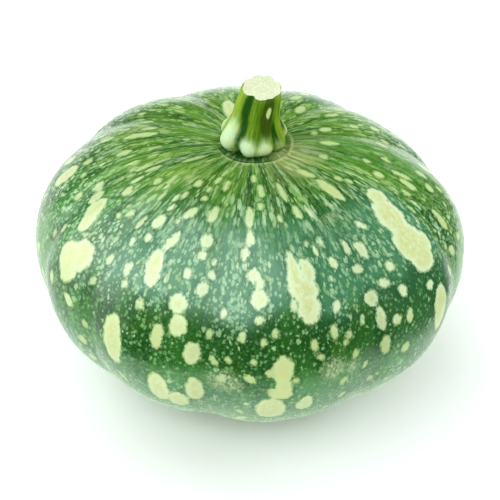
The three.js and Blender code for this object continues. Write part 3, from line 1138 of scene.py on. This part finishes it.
def stem_material(stem):
    """The stem: yellow-green ridges, olive flanks, dark grooves whose own green is deepened by
    painted shade, patches of painted shade down the deepest grooves, pale knuckles at the foot
    and a cream, fibrous cut face."""
    g = Graph("cut_stem")
    grain = g.attribute("grain", "Vector")
    crest = g.attribute("crest")
    knuckle = g.attribute("knuckle")
    cut = g.attribute("cut")
    fibres = g.noise(g.scaled(grain, (1, 1, 0.12)), 0.9, 3.0, 0.6)
    blots = g.noise(grain, 0.25, 3.0)
    stray = g.times_plus(
        g.minus(fibres, 0.5),
        0.5,
        g.minus(blots, 0.5),
    )

    # Painted shade: the groove colour darkens the stem where its grooves run deep, over the grooves'
    # own darker green.
    lift = g.times_plus(stray, 0.7, crest)
    colour = g.mix(g.remap(lift, 0.05, 0.55), stem.groove, stem.flank)
    ripe = g.times_plus(stray, 0.6, g.attribute("ripe"))
    ripe = g.times(g.remap(ripe, 0.0, 1.0), g.remap(lift, 0.35, 0.9))
    colour = g.mix(ripe, colour, stem.ridge)
    colour = g.mix(g.remap(fibres, 0.50, 0.72, 0.0, 0.5), colour, stem.ridge)
    colour = g.mix(g.remap(fibres, 0.48, 0.30, 0.0, 0.5), colour, stem.groove)
    # Painted shade: dark patches down the deepest grooves.
    dark = g.times_plus(stray, 0.5, g.attribute("dark"))
    colour = g.mix(g.remap(dark, 0.05, 0.75, 0.0, 0.95), colour, stem.groove)
    brown = g.times_plus(stray, 0.6, g.attribute("brown"))
    colour = g.mix(g.remap(brown, 0.05, 0.65, 0.0, 0.95), colour, stem.stain)
    swollen = g.times_plus(stray, 0.5, knuckle)
    golden = g.larger(g.remap(blots, 0.42, 0.60, 0.0, 0.8), g.attribute("golden"))
    swelling = g.mix(golden, stem.knuckle, stem.swelling)
    colour = g.mix(g.remap(swollen, 0.05, 0.75, 0.0, 0.95), colour, swelling)
    bare = g.times_plus(stray, 0.7, g.attribute("bare"))
    colour = g.mix(g.remap(bare, 0.25, 0.80, 0.0, 0.9), colour, stem.swelling)
    rings = g.noise(grain, 0.7, 4.0, 0.65)
    face = g.mix(g.remap(rings, 0.4, 0.7, 0.0, 0.4), stem.cut, stem.ridge)
    colour = g.mix(g.remap(cut, 0.35, 0.65), colour, face)

    rough = g.remap(fibres, 0.3, 0.7, 0.5, 0.68)
    rough = g.times_plus(cut, 0.2, rough)
    height = g.times_plus(fibres, 1.0, g.times(rings, 0.4))
    normal = g.bump(height, 0.25 * MM, 0.9)
    return g.finish(
        colour, rough, normal, **{"IOR": 1.45, "Specular IOR Level": 0.06}
    )


# ---------------------------------------------------------------------------- stem


def stem_radius(stem, height, azimuth):
    """Radius of the stem at a height and azimuth: a tapering neck on a flared foot, a little
    broader across X, less the grooves, each a bell-shaped notch. Also how deep in a groove
    the point is, as a share of the deepest."""
    share = height / stem.height
    above = np.maximum(height - stem.foot_height, 0) / stem.foot_fall
    below = np.maximum(stem.foot_height - height, 0) / stem.foot_height
    neck = stem.neck_radius + (stem.cut_radius - stem.neck_radius) * share
    flare = (stem.foot_radius - stem.neck_radius) * np.exp(-(above**2))
    broad = 1 - STEM_BROADNESS * np.cos(np.radians(2 * azimuth))
    notch = 0
    for centre, at_foot, at_cut, width in STEM_GROOVES:
        bell = np.exp(-((away(azimuth, centre) / width) ** 2))
        notch = notch + (at_foot + (at_cut - at_foot) * share) * bell
    radius = (neck + flare - stem.foot_tuck * below**2) * broad * (1 - notch)
    return radius, notch / DEEPEST_NOTCH


def knuckles(height, azimuth):
    """The swollen foot: a bell-shaped bulge over each knuckle. Gives the bulge and how pale
    the knuckle is there."""
    bulge, pale = 0, 0
    for centre, width, middle, reach, swell, paleness in STEM_KNUCKLES:
        side = away(azimuth, centre) / width
        up = (height / MM - middle) / reach
        bell = np.exp(-((side**2 + up**2) ** 1.3))
        bulge = bulge + swell * MM * bell
        pale = np.maximum(pale, paleness * bell)
    return bulge, pale


def stains_and_shade(places, height, azimuth):
    """How strongly a list of patches covers the stem, stains and painted shade alike: the highest of
    the bells, one over each place.
    """
    most = 0
    for centre, width, middle, reach in places:
        side = away(azimuth, centre) / width
        up = (height / MM - middle) / reach
        most = np.maximum(most, np.exp(-((side**2 + up**2) ** 1.5)))
    return most


def ripeness(azimuth):
    """How yellow the stem is, going evenly from each azimuth of the list to the next."""
    places, values = np.array(STEM_RIPENESS).T
    return np.interp(azimuth, places, values, period=360)


def seat_height(meridian, radius):
    """Height of the plain seat at a radius, on the fruit's own axis."""
    top = meridian.arcs < meridian.length / 3
    return np.interp(radius, meridian.radii[top], meridian.heights[top])


def stem_rings(fruit, stem, meridian):
    """The stem's rings from the middle of the cut face to the middle of the underside. Down
    the side the radius is carried up a bending centre line, with fibres and knuckles; across
    the cut face it shrinks to nothing, rounded at the rim and hollow in the middle."""
    rng = np.random.default_rng(fruit.seed + 2)
    face = np.linspace(0, 1, FACE_RINGS)[1:-1]
    side = np.linspace(1, 0, SIDE_RINGS)
    under = np.linspace(1, 0, BASE_RINGS)[1:-1]
    inset = np.concatenate((face, np.ones(len(side)), under))[:, None]
    down_side = side**SIDE_CROWDING
    share = np.concatenate((np.ones(len(face)), down_side, np.zeros(len(under))))[:, None]
    azimuth = (np.arange(STEM_COLUMNS) * 360 / STEM_COLUMNS)[None, :]
    height = share * stem.height
    radius, notch = stem_radius(stem, height, azimuth)
    bulge, pale = knuckles(height, azimuth)
    fibres = waves(rng, azimuth, height, 26, 70, 60 * MM)
    lumps = waves(rng, azimuth, height, 14, 9, 16 * MM)
    radius = radius + bulge + 0.13 * MM * fibres + 0.22 * MM * lumps
    radius = np.maximum(radius, 2 * MM)

    on_face = np.arange(len(inset))[:, None] < len(face)
    rim = smoothstep(inset, 0.86, 1.0)
    hollow = 0.9 * MM * (1 - inset**2) * smoothstep(inset, 1.0, 0.75)
    torn = 0.16 * MM * waves(rng, azimuth, inset * radius, 24, 14, 5 * MM)
    drop = np.where(on_face, hollow + torn * (1 - rim) * inset, 0)
    near_top = smoothstep(share, 0.93, 1.0) * (inset == 1)
    radius = radius - 0.5 * MM * near_top**2
    x = inset * radius * np.sin(np.radians(azimuth))
    y = -inset * radius * np.cos(np.radians(azimuth))
    rise = math.tan(stem.cut_slope) * y * share**2
    floor = np.where(
        share > 0,
        seat_height(meridian, 0.0),
        seat_height(meridian, radius * inset),
    )
    z = floor + stem.seat_gap + height + rise - drop
    x, z = leaning(fruit, x + stem.sway * share**2, z)
    points = np.stack((x, y, z), -1)
    golden = np.exp(-((away(azimuth, 45) / 30) ** 2))
    angle = np.radians(azimuth)
    values = {
        "crest": 1 - notch,
        "knuckle": pale,
        "cut": np.broadcast_to(on_face * 1.0, notch.shape),
        "ripe": np.broadcast_to(ripeness(azimuth), notch.shape),
        "golden": np.broadcast_to(golden, notch.shape),
        # painted shade down the deepest grooves
        "dark": stains_and_shade(STEM_GROOVE_SHADE, height, azimuth),
        "brown": stains_and_shade(STEM_BROWN, height, azimuth),
        "bare": stains_and_shade(STEM_BARE, height, azimuth),
        "grain": np.stack(
            (
                inset * GRAIN_RADIUS * np.sin(angle),
                -inset * GRAIN_RADIUS * np.cos(angle),
                height / MM + 0 * azimuth,
            ),
            -1,
        ),
    }
    return points, values, inset[:, 0], share[:, 0]


# ---------------------------------------------------------------------------- operators


class SQUASH_OT_fruit(bpy.types.Operator):
    """Build the fruit with its furrows, flecks and marks."""

    bl_idname = "squash.fruit"
    bl_label = "Fruit"

    def execute(self, context):
        fruit = context.scene.squash_fruit
        meridian = Meridian(fruit)
        shift = fruit_shift(fruit, meridian)
        azimuth = (np.arange(FRUIT_COLUMNS) * 360 / FRUIT_COLUMNS)[None, :]
        arc = fruit_arcs(meridian.length)[:, None]
        rings = fruit_points(fruit, meridian, azimuth, arc) + shift
        poles = np.array((0, meridian.length))
        ends = fruit_points(fruit, meridian, np.zeros(2), poles) + shift
        low = min(rings[..., 2].min(), ends[:, 2].min())
        rings[..., 2] -= low
        ends[:, 2] -= low
        mesh, rows, columns = closed_mesh("fruit_rind", ends[0], rings, ends[1])
        if len(mesh.polygons) != (len(arc) + 1) * FRUIT_COLUMNS:
            raise RuntimeError("the fruit's surface did not close")

        azimuth, arc, radius = np.broadcast_arrays(azimuth, arc, meridian.at(arc)[0])
        values = rind_values(fruit, meridian, azimuth, arc, radius)
        for name, (top, grid, bottom) in values.items():
            set_values(mesh, name, top, grid, bottom)
        self.unwrap(mesh, meridian, arc[:, 0], rows, columns)
        place("fruit_rind", mesh, rind_material(fruit), "fruit")
        return {"FINISHED"}

    def unwrap(self, mesh, meridian, arc, rows, columns):
        """Lays the rind out as two discs, one round each pole, where a point's distance
        from the disc's middle is its arc from that pole."""
        scale = WHOLE_ARC / meridian.length
        arcs = np.concatenate((arc, (meridian.length, 0)))[rows]
        top = face_means(mesh, arcs) < SEAM_ARC
        away_from_pole = np.where(top, arcs, meridian.length - arcs) * scale
        angle = 2 * math.pi * columns / FRUIT_COLUMNS
        side = np.sin(angle) * away_from_pole
        u = np.where(top, UPPER_DISC + side, LOWER_DISC - side)
        v = np.where(top, UPPER_DISC, LOWER_DISC) - np.cos(angle) * away_from_pole
        set_uv(mesh, u, v)


class SQUASH_OT_stem(bpy.types.Operator):
    """Build the stem with its ridges, knuckles and cut face."""

    bl_idname = "squash.stem"
    bl_label = "Stem"

    def execute(self, context):
        fruit, stem = context.scene.squash_fruit, context.scene.squash_stem
        meridian = Meridian(fruit)
        shift = fruit_shift(fruit, meridian)
        rings, values, inset, share = stem_rings(fruit, stem, meridian)
        rings = rings + shift
        top, bottom = rings[0].mean(0), rings[-1].mean(0)
        mesh, rows, columns = closed_mesh("cut_stem", top, rings, bottom)
        if len(mesh.polygons) != (len(rings) + 1) * STEM_COLUMNS:
            raise RuntimeError("the stem's surface did not close")
        for name, value in values.items():
            set_values(mesh, name, value[0].mean(0), value, value[-1].mean(0))
        self.unwrap(mesh, inset, share, rows, columns)
        place("cut_stem", mesh, stem_material(stem), "stem")
        return {"FINISHED"}

    def unwrap(self, mesh, inset, share, rows, columns):
        """Lays the side out as a band, and the cut face and the underside as discs, where a
        point's distance from the disc's middle is its share of the way out to the rim."""
        middle = face_means(mesh, rows)
        faces = FACE_RINGS - 2
        insets = np.concatenate((inset, (0, 0)))[rows]
        shares = np.concatenate((share, (0, 1)))[rows]
        angle = 2 * math.pi * columns / STEM_COLUMNS
        u = BAND_MARGIN + BAND_WIDTH * columns / STEM_COLUMNS
        v = BAND_MARGIN + BAND_HEIGHT * shares
        on_face = middle < faces - 0.4
        on_base = middle > faces + SIDE_RINGS - 0.9
        disc = END_RADIUS * insets
        u = np.where(on_face, FACE_ACROSS + disc * np.sin(angle), u)
        u = np.where(on_base, BASE_ACROSS - disc * np.sin(angle), u)
        v = np.where(on_face | on_base, END_HEIGHT - disc * np.cos(angle), v)
        set_uv(mesh, u, v)


class SQUASH_OT_stage(bpy.types.Operator):
    """Lay the pale floor and set up the soft light and the camera."""

    bl_idname = "squash.stage"
    bl_label = "Stage"

    def execute(self, context):
        stage = context.scene.squash_stage
        self.floor(stage)
        self.light(context, stage)
        self.camera(context, stage)
        return {"FINISHED"}

    def floor(self, stage):
        """A flat disc."""
        angle = np.radians(np.arange(0, 360, 5))
        rim = np.stack((np.cos(angle), np.sin(angle), 0 * angle), -1)
        rim *= stage.floor_radius
        mesh = bpy.data.meshes.new("floor")
        mesh.from_pydata(rim.tolist(), [], [list(range(len(rim)))])
        graph = Graph("pale_floor")
        tone = graph.noise(graph.add("TexCoord").outputs["Object"], 3.0, 2.0)
        colour = graph.mix(graph.times(tone, 0.02), stage.floor_colour, (0.9, 0.9, 0.9))
        mesh.materials.append(graph.finish(colour, 0.85, None))
        floor = bpy.data.objects.new("floor", mesh)
        bpy.context.scene.collection.objects.link(floor)

    def light(self, context, stage):
        """Even light from all round, weaker in the gloss; three softboxes that light matt
        surfaces alone, and two that only the gloss shows; and a dark sheet for the gloss."""
        world = bpy.data.worlds.new("surround")
        world.use_nodes = True
        tree = world.node_tree
        background = tree.nodes["Background"]
        background.inputs["Color"].default_value = (1.0, 1.0, 1.0, 1.0)
        path = tree.nodes.new("ShaderNodeLightPath")
        strength = None
        for ray, amount in (
            ("Is Diffuse Ray", stage.surround),
            ("Is Glossy Ray", stage.gloss_surround),
            ("Is Camera Ray", 1.0),
        ):
            node = tree.nodes.new("ShaderNodeMath")
            node.operation = "MULTIPLY_ADD"
            tree.links.new(path.outputs[ray], node.inputs[0])
            node.inputs[1].default_value = amount
            node.inputs[2].default_value = 0.0
            if strength:
                tree.links.new(strength, node.inputs[2])
            strength = node.outputs[0]
        tree.links.new(strength, background.inputs["Strength"])
        context.scene.world = world
        for name, at, size, power, kind in (
            ("front_softbox", (-1.15, -2.0, 1.7), (3.4, 2.4), stage.softbox_power, "diffuse"),
            ("back_softbox", (-1.5, 1.7, 2.0), (2.4, 2.0), stage.back_power, "diffuse"),
            ("right_softbox", (2.0, 1.2, 0.6), (1.8, 1.0), stage.right_power, "diffuse"),
            ("overhead_gloss", (-0.8, -0.9, 2.4), (3.4, 3.2), stage.gloss_power, "glossy"),
            ("left_gloss", (-2.3, 0.2, 1.0), (2.4, 2.0), stage.side_power, "glossy"),
        ):
            self.softbox(name, at, size, power, kind)
        self.dark_sheet()

    def dark_sheet(self):
        """A black sheet a hair over the floor, seen only in the rind's gloss: a part of a
        flat ring round the fruit's front and right, whose inner edge draws back at its end."""
        angle = np.radians(np.linspace(*SHEET_AZIMUTHS, 50))
        ring = np.stack((np.sin(angle), -np.cos(angle), 0 * angle), -1)
        inner = 0.16 + 0.26 * smoothstep(angle, math.radians(100), math.radians(125))
        points = np.concatenate((ring * inner[:, None], ring * SHEET_REACH)) + (0, 0, MM)
        count = len(angle)
        faces = [(i, i + 1, count + i + 1, count + i) for i in range(count - 1)]
        mesh = bpy.data.meshes.new("dark_sheet")
        mesh.from_pydata(points.tolist(), [], faces)
        graph = Graph("black_sheet")
        mesh.materials.append(graph.finish((0.01, 0.01, 0.01), 0.9, None))
        sheet = bpy.data.objects.new("dark_sheet", mesh)
        sheet.visible_camera = sheet.visible_diffuse = sheet.visible_shadow = False
        bpy.context.scene.collection.objects.link(sheet)

    def softbox(self, name, at, size, power, kind):
        """A rectangular light that faces the fruit, and lights either matt surfaces or the
        gloss alone."""
        data = bpy.data.lights.new(name, "AREA")
        data.shape = "RECTANGLE"
        data.size, data.size_y = size
        data.energy = power
        data.color = LIGHT_COLOUR
        light = bpy.data.objects.new(name, data)
        aim = Vector(LIGHT_TARGET) - Vector(at)
        light.location = at
        light.rotation_euler = aim.to_track_quat("-Z", "Y").to_euler()
        light.visible_camera = False
        light.visible_diffuse = kind == "diffuse"
        light.visible_glossy = kind == "glossy"
        bpy.context.scene.collection.objects.link(light)

    def camera(self, context, stage):
        """A long lens aimed at the middle of the fruit."""
        data = bpy.data.cameras.new("camera")
        data.lens = stage.camera_lens
        camera = bpy.data.objects.new("camera", data)
        low, high = FRUIT_BOX
        elevation = stage.camera_elevation
        back = Vector((0, -math.cos(elevation), math.sin(elevation)))
        camera.location = (low + high) / 2 + back * stage.camera_distance
        camera.rotation_euler = back.to_track_quat("Z", "Y").to_euler()
        context.scene.collection.objects.link(camera)
        context.scene.camera = camera
        context.scene.view_settings.view_transform = "Standard"


class SQUASH_PT_panel(bpy.types.Panel):
    """Lists the pieces and their settings."""

    bl_idname = "SQUASH_PT_panel"
    bl_label = "Squash"
    bl_space_type = "VIEW_3D"
    bl_region_type = "UI"
    bl_category = "Squash"

    def draw(self, context):
        for name, operator in (
            ("squash_fruit", SQUASH_OT_fruit),
            ("squash_stem", SQUASH_OT_stem),
            ("squash_stage", SQUASH_OT_stage),
        ):
            box = self.layout.box()
            box.operator(operator.bl_idname)
            settings = getattr(context.scene, name)
            for key in settings.__annotations__:
                box.prop(settings, key)


CLASSES = (
    SQUASH_PG_fruit,
    SQUASH_PG_stem,
    SQUASH_PG_stage,
    SQUASH_OT_fruit,
    SQUASH_OT_stem,
    SQUASH_OT_stage,
    SQUASH_PT_panel,
)


def register():
    """Makes the classes known and hangs their settings on the scene."""
    for cls in CLASSES:
        bpy.utils.register_class(cls)
    bpy.types.Scene.squash_fruit = PointerProperty(type=SQUASH_PG_fruit)
    bpy.types.Scene.squash_stem = PointerProperty(type=SQUASH_PG_stem)
    bpy.types.Scene.squash_stage = PointerProperty(type=SQUASH_PG_stage)


def unregister():
    """Takes back what register did."""
    del bpy.types.Scene.squash_fruit
    del bpy.types.Scene.squash_stem
    del bpy.types.Scene.squash_stage
    for cls in reversed(CLASSES):
        bpy.utils.unregister_class(cls)


def main():
    """Builds everything."""
    register()
    bpy.ops.squash.fruit()
    bpy.ops.squash.stem()
    bpy.ops.squash.stage()


if __name__ == "__main__":
    main()
